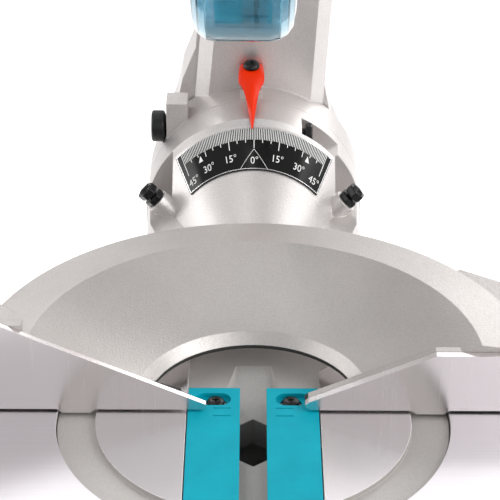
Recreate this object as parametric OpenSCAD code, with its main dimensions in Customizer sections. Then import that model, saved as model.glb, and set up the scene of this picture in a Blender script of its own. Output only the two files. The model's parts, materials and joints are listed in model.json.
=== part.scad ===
// Dual bevel mitre saw, 255 mm blade, on a folding stand.
// Origin: on the floor under the middle of the stand. +X is the operator's right, +Y is to the rear, +Z is up.

/* [Stand] */
// Height of the saw table above the floor
table_z = 850; // [780:10:920]
// Length of the two stand rails
rail_len = 960; // [900:20:1000]
// Distance of each foot from the middle, left to right
foot_x = 560; // [520:10:600]
// Distance of each foot from the middle, front to rear
foot_y = 400; // [360:10:430]

/* [Table] */
// Radius of the machined disc of the turntable
disc_r = 86.8; // [84:0.2:90]
// Radius of the turntable
ring_r = 107.6; // [106:0.2:110]
// Depth of the sunk ring round the disc
ring_depth = 3; // [2:0.5:4]
// Half of the gap between the kerf boards
kerf_half = 7.4; // [6:0.2:9]
// Width of one kerf board
board_w = 28.9; // [26:0.1:32]

/* [Fence] */
// Front face of the fence, behind the turntable axis
fence_y = 6; // [5:0.5:8]
// Height of the right fence
fence_right_h = 36.8; // [34:0.2:40]
// Height of the left fence
fence_left_h = 60; // [56:1:64]

/* [Blade] */
// Radius of the blade over its teeth
blade_r = 127.5; // [125:0.5:130]
// Number of teeth
teeth = 40; // [24:4:60]
// How far the head swings down, in degrees
chop = 46.2; // [40:0.1:50]

/* [Hidden] */
$fn = 96;

saw_y = -20;          // turntable axis, from the middle of the stand
base_h = 78;          // from the saw's underside to its table
foot_bolt_y = [-20, 24]; // bolts that hold the saw on its brackets
gap = 0.6;            // gap between the turntable and the base
board_t = 4;          // kerf board thickness
board_back = 29.5;    // rear end of the kerf boards
board_front = -98;    // front end of the kerf boards
trough_z = -16.4;     // floor of the trough under the kerf
arch_in = 58;         // inner radius of the arch
arch_ridge = 125;     // radius of the arch's highest line
arch_out = 153.6;     // outer radius of the arch
fence_gap = 1.2;      // gap under the fence
plate_right_t = 4.6;  // thickness of the right fence plate
plate_left_t = 3.4;   // thickness of the left fence plate
drum_r = 70;          // radius of the bevel housing's flange and the arm's collar
zero_bolt_z = 57.2;   // 0 degree stop bolt above the bevel axis
drum_end = 259;       // where the bevel housing meets the arm
scale_in = [196, 52];    // bevel scale's inner edge: distance from the axis, radius
scale_out = [229, 66.5]; // bevel scale's outer edge
shaft_r = 8;          // clamp shaft
release_z = 46;       // release pin above the bevel axis
pivot = [285, 235];   // head pivot, y and z
arbor = [-30, 114];   // blade centre with the head down, y and z
pin_r = 9;            // head pivot pin
arm_x = 16;           // middle of the arm at the head pivot
lug_w = 44;           // width of the head's lug between the arm's ears
lock_pin_z = 15;      // head lock pin above the pivot
guard_r = 133;        // lower guard's outer radius
guard_x = [-29, 17.5];   // lower guard's sides
case_r = 138.5;       // upper guard's outer radius
case_x = [-34, 22.5];    // upper guard's sides
motor_tilt = 50;      // motor axis above the horizontal
motor_r = 44;         // motor housing radius
motor_start = [55.8, 165]; // where the motor axis leaves the gear case: x and z
saw_on_rail = 12;     // saw bracket thickness
rail_w = 40;          // rail width
rail_h = 45;          // rail height
rail_y = 75;          // rail centre from the middle
rail_top = table_z - base_h - saw_on_rail;
leg_r = 14;
leg_hinge_z = rail_top - rail_h - 26;
leg_hinge_x = 430;
leg_ys = [52, 90];    // leg hinge distance from the middle: left pair, right pair
foot_r = 19;
roller_r = 22;

module saw() translate([0, saw_y, table_z]) children();
module raised() translate([0, pivot[0], pivot[1]]) rotate([-chop, 0, 0]) translate([0, -pivot[0],
  -pivot[1]]) children();
module head() saw() raised() children();
module rod_x(r, x0, x1) translate([x0, 0, 0]) rotate([0, 90, 0]) cylinder(r = r, h = x1 - x0);
module rod_y(r, y0, y1) translate([0, y0, 0]) rotate([-90, 0, 0]) cylinder(r = r, h = y1 - y0);
module at_arbor() translate([0, arbor[0], arbor[1]]) children();
module at_pivot() translate([0, pivot[0], pivot[1]]) children();
// Turned about the Y axis; the profile is a list of [y, radius].
module turned_y(profile) rotate([-90, 0, 0]) rotate_extrude() polygon([for (p = profile) [p[1], p[0]]]);
// Outline in the XZ plane, extruded to the rear.
module slab_xz(y0, t) translate([0, y0 + t, 0]) rotate([90, 0, 0]) linear_extrude(t) children();
// Outline in the YZ plane, extruded along +X.
module slab_yz(x0, t) translate([x0, 0, 0]) rotate([90, 0, 90]) linear_extrude(t) children();
module at_motor() translate([motor_start[0], arbor[0], motor_start[1]]) rotate([0, 90 - motor_tilt,
  0]) children();
// A pie slice of radius r from angle a0 to a1, under 180 degrees.
module sector(r, a0, a1) {
  m = (a0 + a1) / 2;
  h = (a1 - a0) / 2;
  k = r / cos(h / 2) * 1.02;
  polygon([[0, 0], for (a = [a0, (a0 + m) / 2, m, (m + a1) / 2, a1]) k * [cos(a), sin(a)]]);
}
module hex_head(r, h) cylinder(r = r, h = h, $fn = 6);

// ---------- base and fence ----------
module side_table_outline()
  polygon([[70, -84], [120, -98], [205, -98], [232, -84], [240, -64], [240, 30], [232, 40], [150, 40],
    [124, 32], [60, 32]]);

module base_casting() color("lightgray") saw() difference() {
  union() {
    translate([0, 0, -base_h]) cylinder(r = 128, h = base_h);
    for (s = [0, 1]) mirror([s, 0, 0]) translate([0, 0, -base_h]) linear_extrude(base_h) side_table_outline();
    // front rim with the mitre scale's slope
    translate([0, 0, -base_h]) intersection() {
      rotate_extrude() polygon([[100, 0], [158, 0], [158, base_h - 16], [150, base_h], [100, base_h]]);
      translate([-170, -170, 0]) cube([340, 140, base_h]);
    }
    for (s = [-1, 1]) for (y = foot_bolt_y) translate([s * 220, y, -base_h]) cylinder(r = 13, h = 20);
  }
  translate([0, 0, -base_h + 12]) cylinder(r = ring_r + gap, h = base_h);
  // the rear neck swings here
  translate([0, 0, -base_h + 14]) linear_extrude(base_h) sector(200, 16, 90);
  translate([0, 0, -base_h + 14]) linear_extrude(base_h) sector(200, 89, 164);
  // the front arm swings here, under the rim
  translate([0, 0, -base_h + 14]) linear_extrude(base_h - 34) sector(230, -164, -89);
  translate([0, 0, -base_h + 14]) linear_extrude(base_h - 34) sector(230, -91, -16);
  // hollow side tables, open below
  for (s = [0, 1]) mirror([s, 0, 0]) {
    translate([134, -60, -base_h - 1]) cube([62, 90, base_h - 9]);
    translate([204, -44, -base_h - 1]) cube([28, 52, base_h - 9]);
    // carrying recess in each end
    translate([234, -40, -base_h + 14]) cube([10, 46, 26]);
  }
  cylinder(r = 8.05, h = 300, center = true);
  for (s = [-1, 1]) for (y = foot_bolt_y) translate([s * 220, y, -base_h - 1]) cylinder(r = 4.2, h = 19);
  for (x = [-205, -165, 165, 205]) translate([x, 26, -16]) cylinder(r = 3, h = 20);
  for (s = [-1, 1]) translate([s * 185, 26, -12]) cylinder(r = 5.2, h = 20);
}

module mitre_scale() color("black") saw() intersection() {
  rotate_extrude() polygon([[150.42, -0.79], [157.62, -15.19], [158.3, -14.84], [151.1, -0.44]]);
  translate([0, 0, -20]) linear_extrude(30) sector(190, -136, -44);
}

// The sloped ends clear the tilted head.
module right_fence_outline(bottom) polygon([
  [31, bottom], [28.6, bottom + 2], [28.6, bottom + 3.6], [30.4, 6.3], [99.6, fence_right_h], [224,
    fence_right_h],
  [236, fence_right_h - 12], [236, bottom], [108.6, bottom], [105.6, bottom - 2.4], [90.2, bottom - 2.4],
    [87, bottom]]);
module left_fence_outline(bottom) polygon([
  [-27.6, bottom], [-26.2, bottom + 1.6], [-26.2, 4.8], [-148.8, fence_left_h], [-222, fence_left_h],
    [-236, fence_left_h - 14],
  [-236, bottom], [-108.6, bottom], [-105.6, bottom - 2.4], [-90.2, bottom - 2.4], [-87, bottom]]);

module right_fence_plate() color("gainsboro") saw() slab_xz(fence_y,
  plate_right_t) right_fence_outline(fence_gap);
module left_fence_plate() color("gainsboro") saw() slab_xz(fence_y, plate_left_t) left_fence_outline(fence_gap);

module fence_casting() color("silver") saw() difference() {
  union() {
    // dished arch over the turntable's neck
    difference() {
      intersection() {
        rotate_extrude() polygon([[arch_in, 8.4], [arch_in, 10.6], [arch_in + 5.2, 16.9], [arch_ridge, 41],
          [arch_out, 37.3], [arch_out, 30.3],
          [arch_ridge, 34], [arch_in + 6, 8.4]]);
        translate([-200, fence_y + plate_right_t + 0.2, 0]) cube([400, 200, 60]);
      }
      translate([-60, 0, -1]) cube([120, 15, 30]);
    }
    // backs of the fences
    slab_xz(fence_y + plate_right_t + 0.2, 5) right_fence_outline(fence_gap);
    slab_xz(fence_y + plate_left_t + 0.2, 7) polygon([[-112, 1.2], [-70, 1.2], [-70, 18], [-126, 42],
      [-126, 53], [-216, 53],
      [-230, 42], [-230, 1.2]]);
    slab_xz(fence_y + plate_left_t + 0.2, 7) polygon([[-40, 5], [-70, 1.2], [-70, 18], [-40, 8]]);
    // feet that carry the arch and the fences on the side tables
    for (s = [0, 1]) mirror([s, 0, 0]) {
      translate([114, fence_y + 8, 0]) cube([38, 30, 37]);
      translate([150, fence_y + 5, 0]) cube([80, 28, 9]);
      translate([110, fence_y + 8, 0]) cube([120, 6, 30]);
    }
    // boss for a vice post at the right rear, and at the left
    translate([0, 0, 33]) linear_extrude(4.3) polygon([[117, 97], [121, 99], [166, 70], [166, 14], [124, 14]]);
    translate([0, 0, 25]) linear_extrude(14) polygon([[-117, 30], [-143, 55], [-166, 44], [-166, 14],
      [-117, 14]]);
    translate([-152, 14, 0]) cube([12, 28, 30]);
  }
  for (x = [-205, -165, 165, 205]) translate([x, 26, -1]) cylinder(r = 3.4, h = 30);
  for (s = [-1, 1]) translate([s * 185, 26, -1]) cylinder(r = 5.2, h = 12);
}

module fence_bolts() color("dimgray") saw() for (x = [-205, -165, 165, 205]) translate([x, 26, 0]) {
  translate([0, 0, -14]) cylinder(r = 2.9, h = 23);
  difference() {
    translate([0, 0, 9]) cylinder(r = 5, h = 6);
    translate([0, 0, 12]) hex_head(2.8, 5);
  }
}

module pivot_bolt() color("dimgray") saw() {
  translate([0, 0, -base_h - 6]) hex_head(12, 6);
  translate([0, 0, -base_h - 0.1]) cylinder(r = 8, h = 32);
  translate([0, 0, -57.6]) hex_head(12, 7);
}

// ---------- turntable ----------
module turntable() color("lightgray") saw() difference() {
  union() {
    translate([0, 0, -34]) cylinder(r = ring_r, h = 34 - ring_depth);
    translate([0, 0, -34]) cylinder(r = disc_r, h = 34);
    translate([0, 0, -64]) cylinder(r = 40, h = 34);
    // rear neck
    translate([0, 0, -56]) linear_extrude(51.5) polygon([[-34, 20], [34, 20], [34, 110], [44, 150], [-44,
      150], [-34, 110]]);
    // front arm, under the base's rim
    translate([0, 0, -58]) linear_extrude(36) polygon([[-34, -20], [-34, -120], [-24, -232], [24, -232],
      [34, -120], [34, -20]]);
    translate([0, -214, -58]) cylinder(r = 27, h = 44);
    for (x = [-19, 15]) translate([x, -232, -70]) cube([4, 16, 14]);
    translate([0, -224, -64]) rod_x(2.15, -17, 17);
  }
  // recess for the kerf boards, and for the blade behind them
  translate([0, 0, -board_t]) linear_extrude(10) polygon([
    [-37, board_front - 1], [37, board_front - 1], [37, 46], [52, 62], [52, 140], [-37, 140]]);
  // trough
  translate([0, 24, 0]) rotate([90, 0, 0]) linear_extrude(24 - board_front - 6)
    polygon([[-10, trough_z], [10, trough_z], [17, -3.9], [-17, -3.9]]);
  hull() {
    translate([0, 24, 0]) rotate([90, 0, 0]) linear_extrude(0.1) polygon([[-10, trough_z], [10,
      trough_z], [17, -3.9], [-17, -3.9]]);
    translate([0, 58, 0]) rotate([90, 0, 0]) linear_extrude(0.1) polygon([[-10, -4.1], [10, -4.1], [10,
      -4], [-10, -4]]);
  }
  // six-sided opening over the pivot, open to the hub
  translate([0, 0, -40]) linear_extrude(30)
    polygon([[0, 22.6], [9.8, 15.1], [9.8, -15.1], [0, -22.6], [-9.8, -15.1], [-9.8, 15.1]]);
  translate([0, 0, -58]) cylinder(r = 30, h = 25);
  cylinder(r = 8.05, h = 200, center = true);
  // bores for the grip's rod and the kerf screws
  translate([0, 0, -40]) rod_y(6.05, -260, -120);
  for (s = [-1, 1]) for (y = [18.4, -84]) translate([s * 21, y, -20]) cylinder(r = 2.6, h = 20);
  for (x = [-24, 24]) translate([x, 151, -30]) rotate([90, 0, 0]) cylinder(r = 3, h = 30);
}

// One kerf board, drawn on the left side.
module kerf_board() difference() {
  translate([-kerf_half - board_w, board_front, -board_t + 0.1]) cube([board_w, board_back - board_front,
    board_t - 0.1]);
  for (y = [18.4, -84]) {
    translate([0, y, -2.8]) hull() for (x = [-26.4, -18.4]) translate([x, 0, 0]) cylinder(r = 5.9, h = 5,
      $fn = 32);
    translate([-24, y - 3, -6]) cube([6, 6, 8]);
    for (x = [-24, -18]) translate([x, y, -6]) cylinder(r = 3, h = 8);
  }
  for (y = [9.6, 2.2]) translate([-22.3, y - 0.35, -0.5]) cube([9.9, 0.7, 1]);
}
module kerf_board_left() color("darkturquoise") saw() kerf_board();
module kerf_board_right() color("darkturquoise") saw() mirror([1, 0, 0]) kerf_board();

module kerf_screws() color("black") saw() for (s = [-1, 1]) for (y = [18.4, -84]) translate([s * 21, y, 0]) {
  translate([0, 0, -16]) cylinder(r = 2.5, h = 13.3);
  difference() {
    translate([0, 0, -2.7]) cylinder(r1 = 5.2, r2 = 4.2, h = 2.4);
    translate([-3, -0.6, -1.2]) cube([6, 1.2, 3]);
    translate([-0.6, -3, -1.2]) cube([1.2, 6, 3]);
  }
}

module mitre_pointer() color("orangered") saw() {
  translate([0, 0, -22]) linear_extrude(1.6) polygon([[-9, -162], [9, -162], [7, -184], [-7, -184]]);
  translate([0, -160.4, 0]) rotate([90, 0, 0]) linear_extrude(1.8) polygon([[-6, -22], [6, -22], [0.6,
    -6], [-0.6, -6]]);
}

module mitre_grip() color("black") saw() translate([0, 0, -40]) {
  rod_y(6, -236, -126);
  difference() {
    turned_y([[-246, 0], [-246, 12], [-252, 16], [-262, 19], [-300, 21], [-318, 20], [-326, 15], [-328, 0]]);
    for (k = [0 : 7]) rotate([0, k * 45, 0]) translate([0, 0, 24]) rod_y(5, -330, -262);
  }
  rod_y(10, -246, -242.2);
}

module detent_lever() color("black") saw() difference() {
  union() {
    translate([0, -224, -64]) rod_x(5, -14, 14);
    translate([-13, -262, -72]) cube([26, 40, 4]);
    translate([-13, -278, -76]) cube([26, 18, 5]);
  }
  translate([0, -224, -64]) rod_x(2.2, -20, 20);
}

// ---------- bevel housing, on the turntable's neck ----------
module bevel_housing() color("silver") saw() difference() {
  union() {
    intersection() {
      turned_y([[150.2, 0], [150.2, 32], scale_in, scale_out, [232, drum_r], [drum_end, drum_r],
        [drum_end, 0]]);
      union() {
        translate([-52, 140, -63]) cube([104, 130, 140]);
        translate([-75, 231.9, -75]) cube([150, 30, 150]);
        translate([-75, 140, -63]) cube([150, 130, 80]);
      }
    }
    // wide lower body with the shoulders
    intersection() {
      turned_y([[150.2, 0], [150.2, 44], [166, 61], [190, 67.5], [232.2, 69.4], [232.2, 0]]);
      translate([-75, 140, -60]) cube([150, 130, 77]);
    }
    for (s = [-1, 1]) translate([s * 64 - 1.5, 206, 29]) rotate([0, s * 45, 0]) translate([0, 0,
      -22]) cylinder(r = 7.5, h = 16.5);
  }
  translate([0, 0, -4]) cylinder(r = 157, h = 120);
  rod_y(shaft_r + 0.05, 100, 300);
  rod_y(13.6, 149, 158);
  // pocket of the 0 degree stop bolt
  translate([30.5, 230, 44]) cube([24, 18, 34]);
  translate([0, 239, zero_bolt_z]) rod_x(3.1, 11, 32);
  for (s = [-1, 1]) translate([s * 64 - 1.5, 206, 29]) rotate([0, s * 45, 0]) translate([0, 0,
    -26]) cylinder(r = 3.1, h = 40);
}

module bevel_scale() color("black") saw() rotate([-90, 0, 0]) rotate([0, 0,
  -90 - 49]) rotate_extrude(angle = 98)
  polygon([[scale_in[1] + 0.1, scale_in[0] - 0.05], [scale_out[1] - 0.6, scale_out[0] - 1.6],
    [scale_out[1] - 0.2, scale_out[0] - 2.2],
    [scale_in[1] + 0.5, scale_in[0] - 0.65]]);

module stop_bolt(shaft, r, h) {
  translate([0, 0, -shaft]) cylinder(r = 3, h = shaft);
  difference() {
    hex_head(r, h);
    translate([0, 0, 2.6]) cylinder(r = 3.4, h = 4);
  }
}
module stop_bolts() color("black") saw() {
  for (s = [-1, 1]) translate([s * 64 - 1.5, 206, 29]) rotate([0, s * 45, 0]) {
    stop_bolt(22, 6.4, 5);
    translate([0, 0, -5.4]) hex_head(6, 4);
  }
  translate([33, 239, zero_bolt_z]) rotate([0, 90, 0]) rotate(30) stop_bolt(20, 5.9, 4.4);
}

module clamp_shaft() color("dimgray") saw() {
  rod_y(shaft_r, 157, 352);
  translate([0, 151, 0]) rotate([-90, 0, 0]) hex_head(13, 6.9);
}

module bevel_lever() color("black") saw() difference() {
  union() {
    rod_y(17, 341, 357);
    slab_xz(345, 10) polygon([[-8, 0], [8, 0], [8, -70], [5, -96], [-5, -96], [-8, -70]]);
    translate([0, 350, -92]) sphere(r = 10);
  }
  rod_y(shaft_r + 0.05, 300, 353);
}

// ---------- arm ----------
module arm_plan(y0, y1, half, cut)
  polygon([[-half, y0 + cut], [-half + cut, y0], [half - cut, y0], [half, y0 + cut], [half, y1 - cut],
    [half - cut, y1],
    [-half + cut, y1], [-half, y1 - cut]]);

module arm() color("silver") saw() difference() {
  union() {
    rod_y(drum_r, drum_end + 0.4, 290);
    rod_y(62, 289, 336);
    // leaning column
    hull() {
      translate([0.6, 0, 20]) linear_extrude(1) arm_plan(284, 336, 43.4, 9);
      translate([arm_x - 2, 0, 206]) linear_extrude(1) arm_plan(268, 322, 40, 9);
    }
    // ears round the head pivot
    for (x = [arm_x - 40, arm_x + lug_w / 2 + 0.4]) at_pivot() {
      rod_x(25, x, x + 17.6);
      translate([x, -25, -40]) cube([17.6, 50, 40]);
    }
    // lug of the release pin
    translate([-57.3, 261, 38]) cube([14, 18, 28]);
    // shoulders between the collar and the column
    slab_xz(291, 44) polygon([[-64, 10], [-58, 30], [-52, 48.5], [-47.6, 70], [-38.5, 93], [-37, 112],
      [46, 112], [45.5, 72], [49.6, 51],
      [54, 27], [62, 0], [-62, 0]]);
    // boss under the bevel pointer
    translate([-9, 263, 60]) cube([14, 18, 15.8]);
  }
  rod_y(shaft_r + 0.05, 200, 345);
  rod_y(40, 300, 350);
  at_pivot() rod_x(pin_r + 0.05, -60, 80);
  // gap for the head's lug
  translate([arm_x - lug_w / 2 - 0.4, 240, 196]) cube([lug_w + 0.8, 100, 80]);
  // hollow column, open to the rear
  hull() {
    translate([0.6, 0, -10]) linear_extrude(1) arm_plan(296, 345, 34, 6);
    translate([arm_x - 4, 0, 180]) linear_extrude(1) arm_plan(284, 345, 30, 6);
  }
  translate([0, 270, release_z]) rod_x(4.05, -70, -30);
  translate([0, 270, release_z]) rod_x(10.8, -72, -57.35);
  at_pivot() translate([0, 0, lock_pin_z]) rod_x(4.05, arm_x + 20, arm_x + 60);
  translate([-1.9, 269.5, 55]) cylinder(r = 2.1, h = 40);
}

module bevel_pointer() color("orangered") saw() difference() {
  union() {
    translate([-10.4, 263, 75.9]) cube([17, 14, 12]);
    hull() {
      translate([-10.4, 262.6, 76.2]) cube([17, 1, 10]);
      translate([-5.6, 250, 80]) cube([7.8, 1, 2.6]);
    }
    hull() {
      translate([-5.6, 250, 80]) cube([7.8, 1, 2.6]);
      translate([-1.7, 224, 66.9]) cube([0.8, 1, 0.7]);
    }
  }
  translate([-1.9, 269.5, 50]) cylinder(r = 2.4, h = 60);
}
module pointer_screw() color("black") saw() translate([-1.9, 269.5, 0]) {
  translate([0, 0, 62]) cylinder(r = 2, h = 26);
  difference() {
    translate([0, 0, 87.95]) cylinder(r1 = 5.2, r2 = 4, h = 2.8);
    translate([-3, -0.6, 89.6]) cube([6, 1.2, 3]);
    translate([-0.6, -3, 89.6]) cube([1.2, 6, 3]);
  }
}
module release_pin() color("black") saw() translate([0, 270, release_z]) {
  rod_x(4, -58, -36);
  rod_x(10.3, -67.4, -57.4);
}
module head_pivot_pin() color("dimgray") saw() at_pivot() {
  rod_x(pin_r, arm_x - 42, arm_x + 40.2);
  translate([arm_x - 46, 0, 0]) rotate([0, 90, 0]) hex_head(14, 5.9);
  rod_x(10.5, arm_x + 40.1, arm_x + 41);
}

module head_lock_pin() color("black") saw() at_pivot() translate([0, 0, lock_pin_z]) {
  rod_x(4, arm_x + 22.8, arm_x + 47);
  rod_x(9, arm_x + 46, arm_x + 54);
}

// ---------- head, drawn cutting and turned up to its rest ----------
module head_frame() color("silver") head() difference() {
  union() {
    at_pivot() rod_x(22, arm_x - lug_w / 2, arm_x + lug_w / 2);
    slab_yz(8, 30) polygon([[285, 213], [250, 208], [150, 150], [112, 122], [109, 160], [120, 200], [180,
      238], [285, 257]]);
    slab_yz(case_x[1] + 0.1, 17) polygon([[-63, 114], [-62, 190], [0, 238], [80, 242], [182, 238], [150,
      150], [112, 122],
      [20, 104], [2, 100], [-30, 81]]);
    at_arbor() rod_x(33, case_x[1] + 0.1, 61);
    difference() {
      at_motor() translate([0, 0, -22]) cylinder(r = motor_r, h = 28);
      at_arbor() translate([-100 + case_x[1] + 0.1, -200, -200]) cube([100, 400, 400]);
    }
  }
  at_pivot() rod_x(pin_r + 0.05, -60, 90);
  at_arbor() rod_x(14.05, 0, 30);
  at_arbor() rod_x(28, 42.6, 54);
  at_arbor() rod_x(8.05, 20, 58);
  at_motor() translate([0, 0, -30.5]) cylinder(r = 14.5, h = 24);
  at_motor() translate([0, 0, -8]) cylinder(r = 6.05, h = 20);
  at_motor() translate([0, 0, 0]) cylinder(r = 34, h = 10);
  at_motor() translate([0, 0, 6]) cylinder(r = motor_r + 4.6, h = 140);
  for (a = [0, chop]) at_pivot() rotate([a, 0, 0]) translate([0, 0, lock_pin_z]) rod_x(4.4, arm_x + 16,
    arm_x + 30);
  // weight-saving pocket in the boom
  slab_yz(33, 10) polygon([[240, 219], [160, 172], [138, 150], [134, 190], [186, 226], [240, 234]]);
}

// Section of a guard between two sides, with chamfered corners; [radius, x].
function guard_section(r, x0, x1, c) = [[0, x0], [r - c, x0], [r, x0 + c], [r, x1 - c], [r - c, x1], [0, x1]];
module guard_turn(a0, a1) at_arbor() rotate([0, 90, 0]) rotate([0, 0,
  a0]) rotate_extrude(angle = a1 - a0) children();

module upper_guard() color("silver") head() difference() {
  union() {
    guard_turn(90, 292) difference() {
      polygon(guard_section(case_r, case_x[0], case_x[1], 9));
      polygon(guard_section(case_r - 4, case_x[0] + 3, case_x[1] - 3, 7));
    }
    // hub that the lower guard turns on
    at_arbor() rod_x(22, guard_x[1] - 3.5, case_x[1]);
    // socket of the dust spout
    difference() {
      dust_axis() cylinder(r = 19.6, h = 42);
      guard_turn(90, 292) polygon(guard_section(case_r - 4, case_x[0] + 3, case_x[1] - 3, 7));
    }
  }
  at_arbor() rod_x(14.05, 0, 40);
  // access to the blade bolt
  at_arbor() rod_x(34, case_x[0] - 1, case_x[0] + 4);
  // dust way out
  dust_axis() cylinder(r = 15, h = 50);
}

module dust_axis() translate([-14, 50, 190]) rotate([-15, 0, 0]) children();
module dust_spout() color("black") head() dust_axis() difference() {
  union() {
    translate([0, 0, 42.1]) cylinder(r = 18.5, h = 59.9);
    translate([0, 0, 42.1]) cylinder(r = 21, h = 7);
    for (z = [66, 76, 86, 96]) translate([0, 0, z]) cylinder(r1 = 18.4, r2 = 19.6, h = 3);
  }
  cylinder(r = 15.5, h = 200);
}

function corner(u, v, r, from,
  to) = [for (k = [0 : 4]) let (a = from + (to - from) * k / 4) [u + r * cos(a), v + r * sin(a)]];

module lower_guard() color("lightblue", 0.5) head() difference() {
  union() {
    guard_turn(-75, 75) polygon(concat([[50, guard_x[0]]],
      corner(guard_r - 11, guard_x[0] + 11, 11, -90, 0), corner(guard_r - 11, guard_x[1] - 11, 11, 0, 90),
      [[26, guard_x[1]], [26, guard_x[1] - 2.6]],
      corner(guard_r - 11, guard_x[1] - 11, 8.4, 90, 0), corner(guard_r - 11, guard_x[0] + 11, 8.4, 0, -90),
      [[50, guard_x[0] + 2.6]]));
    at_arbor() rod_x(31, guard_x[1] - 3.2, guard_x[1] + 0.3);
  }
  at_arbor() rod_x(22.05, 0, 30);
}

module motor_housing() color("darkgreen") head() at_motor() difference() {
  union() {
    translate([0, 0, 6.1]) cylinder(r = motor_r, h = 92);
    for (k = [0 : 11]) rotate(k * 30) translate([motor_r - 2, -2, 14]) cube([3.5, 4, 76]);
  }
  translate([0, 0, 5]) cylinder(r = motor_r - 4, h = 88);
  translate([0, 0, 90]) cylinder(r = 12, h = 20);
  for (k = [0 : 5]) rotate(k * 60 + 30) translate([27, 0, 90]) cylinder(r = 5, h = 20);
  for (a = [90, -90]) rotate(a) translate([motor_r - 6, 0, 84]) rotate([0, 90, 0]) cylinder(r = 8.02, h = 16);
}

module motor_end_cap() color("black") head() at_motor() difference() {
  union() {
    translate([0, 0, 98.2]) cylinder(r = motor_r - 1, h = 18);
    translate([0, 0, 116.2]) cylinder(r1 = motor_r - 1, r2 = motor_r - 10, h = 8);
  }
  translate([0, 0, 98.1]) cylinder(r = motor_r - 5, h = 20);
  for (k = [0 : 9]) rotate(k * 36) translate([18, -2.2, 110]) cube([14, 4.4, 20]);
}

module motor_stator() color("dimgray") head() at_motor() difference() {
  translate([0, 0, 24]) cylinder(r = motor_r - 4.05, h = 50);
  translate([0, 0, 20]) cylinder(r = 27, h = 60);
}

module motor_armature() color("orange") head() at_motor() {
  translate([0, 0, 24]) cylinder(r = 26.3, h = 50);
  translate([0, 0, 78]) cylinder(r = 14, h = 10);
  translate([0, 0, -24]) cylinder(r = 6, h = 118);
  translate([0, 0, -30.1]) cylinder(r1 = 10.3, r2 = 12.5, h = 7.7);
}

module brush_caps() color("black") head() at_motor() for (a = [90,
  -90]) rotate(a) translate([motor_r - 3.9, 0, 84]) rotate([0, 90, 0])
  difference() {
    cylinder(r = 8, h = 8);
    translate([-5, -0.8, 6.6]) cube([10, 1.6, 3]);
  }

// The grip's own frame: x along the bar, y away from the guard.
module at_grip() translate([-143, 253]) rotate(36.15) children();
grip_x = -21;
grip_t = 32;
module handle() color("black") head() {
  handle_shell();
  slab_yz(-13.5, 17) at_grip() translate([18, 7]) circle(r = 2.05);
}
module handle_shell() difference() {
  union() {
    slab_yz(grip_x, grip_t) difference() {
      polygon([[-52, 253], [-58, 300], [-74, 324], [-98, 328], [-226, 234], [-232, 212], [-222, 196],
        [-186, 164], [-160, 172],
        [-150, 187], [-134, 206], [-113, 226], [-94, 239], [-68, 250]]);
      polygon([[-84, 290], [-92, 296], [-200, 216], [-200, 206], [-182, 186], [-172, 188], [-140, 220],
        [-104, 246], [-82, 258]]);
    }
    slab_yz(grip_x - 2, grip_t + 4) at_grip() polygon([[-66, 5], [60, 5], [66, 10], [66, 22], [60, 27],
      [-66, 27], [-72, 22], [-72, 10]]);
  }
  at_arbor() rod_x(case_r + 0.1, -60, 60);
  slab_yz(-13.3, 16.6) at_grip() polygon([[-38, -3], [26, -3], [26, 15], [10, 21], [-38, 21]]);
  at_lock_button() rod_x(6.05, -8, 20);
}
module at_lock_button() translate([0, -143 + 34 * cos(36.15) - 17 * sin(36.15),
  253 + 34 * sin(36.15) + 17 * cos(36.15)]) children();

module trigger() color("orangered") head() difference() {
  slab_yz(-12.5, 15) at_grip() polygon([[24, 0], [24, 13], [14, 14], [-34, 9], [-36, -2], [-32, -8],
    [-10, -7], [8, -3]]);
  slab_yz(-13, 17) at_grip() translate([18, 7]) circle(r = 2.1);
}
module lock_off_button() color("black") head() at_lock_button() {
  rod_x(6, 2, 17);
}

module carry_handle() color("black") head() difference() {
  union() {
    slab_yz(14, 20) difference() {
      polygon([[10, 236], [22, 282], [40, 294], [140, 294], [158, 282], [170, 236]]);
      polygon([[36, 230], [44, 264], [52, 272], [128, 272], [136, 264], [144, 230]]);
    }
  }
  slab_yz(0, 50) polygon([[-63, 114], [-62, 190.1], [0, 238.1], [80, 242.1], [182, 238.1], [250, 240],
    [250, 120]]);
  slab_yz(0, 50) polygon([[120, 200.1], [180, 238.1], [285, 257.1], [285, 213]]);
  at_arbor() rod_x(case_r + 0.1, -60, case_x[1] + 0.1);
}

// ---------- blade ----------
module tooth_outline() polygon([[119, -2], [blade_r - 0.6, -7.4], [blade_r, -1], [blade_r - 1, 0.4],
  [121.5, 0.4], [118, 3]]);
module blade() color("silver") head() at_arbor() rotate([0, 90, 0]) difference() {
  union() {
    translate([0, 0, -0.9]) cylinder(r = 119.8, h = 1.8);
    for (k = [0 : teeth - 1]) rotate(k * 360 / teeth) translate([0, 0,
      -1.25]) linear_extrude(2.5) tooth_outline();
  }
  cylinder(r = 15, h = 10, center = true);
  for (k = [0 : 3]) rotate(k * 90 + 20) translate([96, 0, -2]) cylinder(r = 4, h = 4);
  for (k = [0 : 3]) rotate(k * 90 + 20) translate([96, -0.7, -2]) cube([30, 1.4, 4]);
}

module blade_flanges() color("dimgray") head() at_arbor() {
  difference() {
    rod_x(24, 0.9, 6.4);
    rod_x(8.02, 0, 8);
  }
  difference() {
    union() {
      rod_x(24, -6.4, -0.9);
      rod_x(14.9, -0.95, 0.85);
    }
    rod_x(8.02, -8, 1);
  }
}

module spindle() color("gray") head() at_arbor() {
  rod_x(8, -5, 58);
  rod_x(14, 6.45, 30);
  translate([44.6, 0, 0]) rotate([0, 90, 0]) cylinder(r1 = 20.8, r2 = 25.2, h = 6.6);
}

module arbor_bolt() color("black") head() at_arbor() difference() {
  union() {
    rod_x(13, -8.6, -6.45);
    translate([-15, 0, 0]) rotate([0, 90, 0]) cylinder(r = 9, h = 6.4);
  }
  translate([-16, 0, 0]) rotate([0, 90, 0]) hex_head(4.6, 5);
}

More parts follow.
